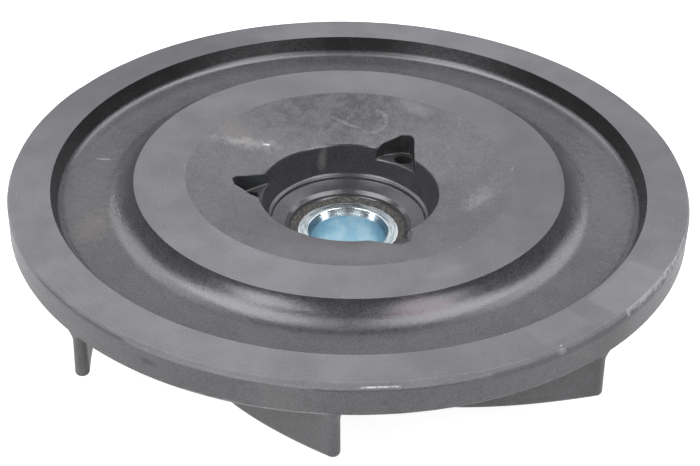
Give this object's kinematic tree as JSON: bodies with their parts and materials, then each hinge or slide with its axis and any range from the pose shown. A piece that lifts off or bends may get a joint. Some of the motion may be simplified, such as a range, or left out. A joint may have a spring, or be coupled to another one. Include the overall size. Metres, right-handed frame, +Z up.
{
  "type": "coolant pump impeller",
  "caption": "Semi-open coolant pump impeller: a round back disc with curved vanes under it, a recessed hub and a steel insert with a plain bore for the pump shaft.",
  "frame": {"origin": "middle of the hub's lower end face, on the shaft axis, where the part rests with its vanes down", "axes": "+Z up along the shaft axis, out of the machined back face; +X to the right and +Y away from the camera in the picture"},
  "size_m": [0.15, 0.15, 0.03],
  "materials": {
    "moulding": "glass-filled grey moulding, faced on its rim and plateau, scuffed",
    "steel_insert": "bright zinc plate with a blue passivated bore"
  },
  "bodies": {
    "root": {"back_disc": "moulding", "hub": "moulding", "shaft_insert": "steel_insert", "vane_1": "moulding", "vane_2": "moulding", "vane_3": "moulding", "vane_4": "moulding", "vane_5": "moulding", "vane_6": "moulding", "vane_7": "moulding", "vane_8": "moulding"}
  },
  "joints": []
}
